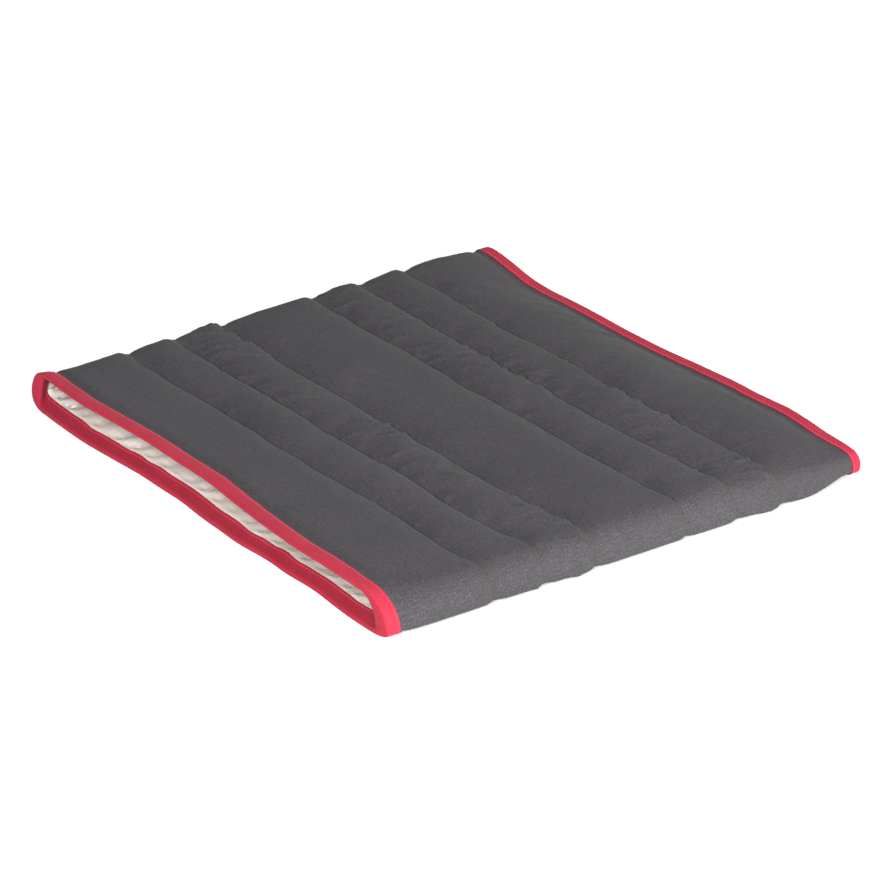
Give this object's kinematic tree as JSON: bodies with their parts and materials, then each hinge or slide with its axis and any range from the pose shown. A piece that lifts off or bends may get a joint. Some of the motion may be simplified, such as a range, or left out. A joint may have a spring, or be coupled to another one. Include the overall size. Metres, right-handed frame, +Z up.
{
  "type": "kneeling pad",
  "caption": "Quilted padded fabric sleeve, open at both bound mouths, that lies flat to kneel, sit or slide on and folds along its quilting lines.",
  "frame": {"origin": "on the ground under the middle of the pad's length and width", "axes": "+X along the tube, from the wide-open mouth to the flatter mouth; +Y across the tube, from fold to fold; +Z up, out of the top ply"},
  "size_m": [0.4, 0.43, 0.0291],
  "materials": {
    "shell_cloth": "dark grey close-woven nylon, semi-matt, puckered along the quilting",
    "quilted_cloth": "the same dark grey cloth, sewn down flat",
    "wadding": "white bonded fibre filling",
    "lining_cloth": "off-white smooth lining cloth",
    "seam_tape": "off-white woven tape",
    "binding_tape": "red ribbed woven binding tape, slightly lustrous",
    "binding_thread": "red sewing thread",
    "quilting_thread": "dark reddish-grey sewing thread"
  },
  "bodies": {
    "channel_1": {"shell_1": "shell_cloth", "wadding_1": "wadding", "lining_1": "lining_cloth", "closing_seam_1": "seam_tape", "binding_left": "binding_tape", "binding_stitches_left": "binding_thread"},
    "channel_2": {"shell_2": "shell_cloth", "wadding_2": "wadding", "lining_2": "lining_cloth", "closing_seam_2": "seam_tape", "quilting_line_1": "quilted_cloth", "quilting_thread_1": "quilting_thread"},
    "channel_3": {"shell_3": "shell_cloth", "wadding_3": "wadding", "lining_3": "lining_cloth", "closing_seam_3": "seam_tape", "quilting_line_2": "quilted_cloth", "quilting_thread_2": "quilting_thread"},
    "channel_4": {"shell_4": "shell_cloth", "wadding_4": "wadding", "lining_4": "lining_cloth", "closing_seam_4": "seam_tape", "quilting_line_3": "quilted_cloth", "quilting_thread_3": "quilting_thread", "quilting_line_4": "quilted_cloth", "quilting_thread_4": "quilting_thread"},
    "channel_5": {"shell_5": "shell_cloth", "wadding_5": "wadding", "lining_5": "lining_cloth", "closing_seam_5": "seam_tape", "quilting_line_5": "quilted_cloth", "quilting_thread_5": "quilting_thread"},
    "channel_6": {"shell_6": "shell_cloth", "wadding_6": "wadding", "lining_6": "lining_cloth", "closing_seam_6": "seam_tape", "quilting_line_6": "quilted_cloth", "quilting_thread_6": "quilting_thread"},
    "channel_7": {"shell_7": "shell_cloth", "wadding_7": "wadding", "lining_7": "lining_cloth", "closing_seam_7": "seam_tape", "binding_right": "binding_tape", "binding_stitches_right": "binding_thread"}
  },
  "joints": [
    {"name": "fold_line_1", "type": "hinge", "parent": "channel_2", "child": "channel_1", "pos_m": [-0.12, 0, 0.0135], "axis": [0, 1, 0], "range_deg": [0, 40], "stiffness_Nm_per_rad": 0.02, "deforming": ["quilting_line_1", "quilting_thread_1"]},
    {"name": "fold_line_2", "type": "hinge", "parent": "channel_3", "child": "channel_2", "pos_m": [-0.08, 0, 0.0135], "axis": [0, 1, 0], "range_deg": [0, 40], "stiffness_Nm_per_rad": 0.02, "deforming": ["quilting_line_2", "quilting_thread_2"]},
    {"name": "fold_line_3", "type": "hinge", "parent": "channel_4", "child": "channel_3", "pos_m": [-0.04, 0, 0.0135], "axis": [0, 1, 0], "range_deg": [0, 40], "stiffness_Nm_per_rad": 0.02, "deforming": ["quilting_line_3", "quilting_thread_3"]},
    {"name": "fold_line_4", "type": "hinge", "parent": "channel_4", "child": "channel_5", "pos_m": [0.04, 0, 0.0135], "axis": [0, -1, 0], "range_deg": [0, 40], "stiffness_Nm_per_rad": 0.02, "deforming": ["quilting_line_4", "quilting_thread_4"]},
    {"name": "fold_line_5", "type": "hinge", "parent": "channel_5", "child": "channel_6", "pos_m": [0.08, 0, 0.0135], "axis": [0, -1, 0], "range_deg": [0, 40], "stiffness_Nm_per_rad": 0.02, "deforming": ["quilting_line_5", "quilting_thread_5"]},
    {"name": "fold_line_6", "type": "hinge", "parent": "channel_6", "child": "channel_7", "pos_m": [0.12, 0, 0.0135], "axis": [0, -1, 0], "range_deg": [0, 40], "stiffness_Nm_per_rad": 0.02, "deforming": ["quilting_line_6", "quilting_thread_6"]}
  ]
}
